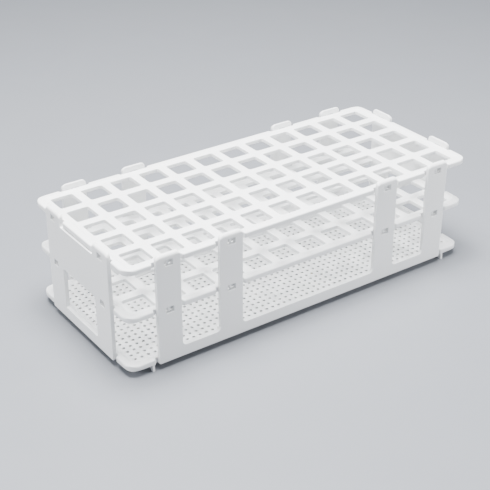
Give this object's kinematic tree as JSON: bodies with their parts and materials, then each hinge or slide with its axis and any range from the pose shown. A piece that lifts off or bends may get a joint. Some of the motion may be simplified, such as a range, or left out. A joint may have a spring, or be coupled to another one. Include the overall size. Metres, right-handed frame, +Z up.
{
  "type": "test tube rack",
  "caption": "Snap-together plastic test tube rack: two gridded well plates over a perforated floor plate, held by four slotted side panels.",
  "frame": {"origin": "on the table, under the middle of the rack", "axes": "+X along the rack's length, +Y to its back, +Z up"},
  "size_m": [0.2452, 0.1062, 0.0706],
  "materials": {
    "rack_plastic": "satin, slightly translucent moulded polypropylene"
  },
  "bodies": {
    "plates": {"top_plate_rim": "rack_plastic", "top_plate_row_bars": "rack_plastic", "top_plate_column_bars": "rack_plastic", "middle_plate_rim": "rack_plastic", "middle_plate_row_bars": "rack_plastic", "middle_plate_column_bars": "rack_plastic", "bottom_plate_rim": "rack_plastic", "bottom_plate_floor": "rack_plastic", "bottom_plate_feet": "rack_plastic"},
    "front_panel": {"front_panel": "rack_plastic"},
    "back_panel": {"back_panel": "rack_plastic"},
    "left_panel": {"left_panel": "rack_plastic"},
    "right_panel": {"right_panel": "rack_plastic"}
  },
  "joints": [
    {"name": "front_panel_pull", "type": "slide", "parent": "plates", "child": "front_panel", "axis": [0, -1, 0], "range_m": [0, 0.03]},
    {"name": "back_panel_pull", "type": "slide", "parent": "plates", "child": "back_panel", "axis": [0, 1, 0], "range_m": [0, 0.03]},
    {"name": "left_panel_pull", "type": "slide", "parent": "plates", "child": "left_panel", "axis": [-1, 0, 0], "range_m": [0, 0.03]},
    {"name": "right_panel_pull", "type": "slide", "parent": "plates", "child": "right_panel", "axis": [1, 0, 0], "range_m": [0, 0.03]}
  ]
}
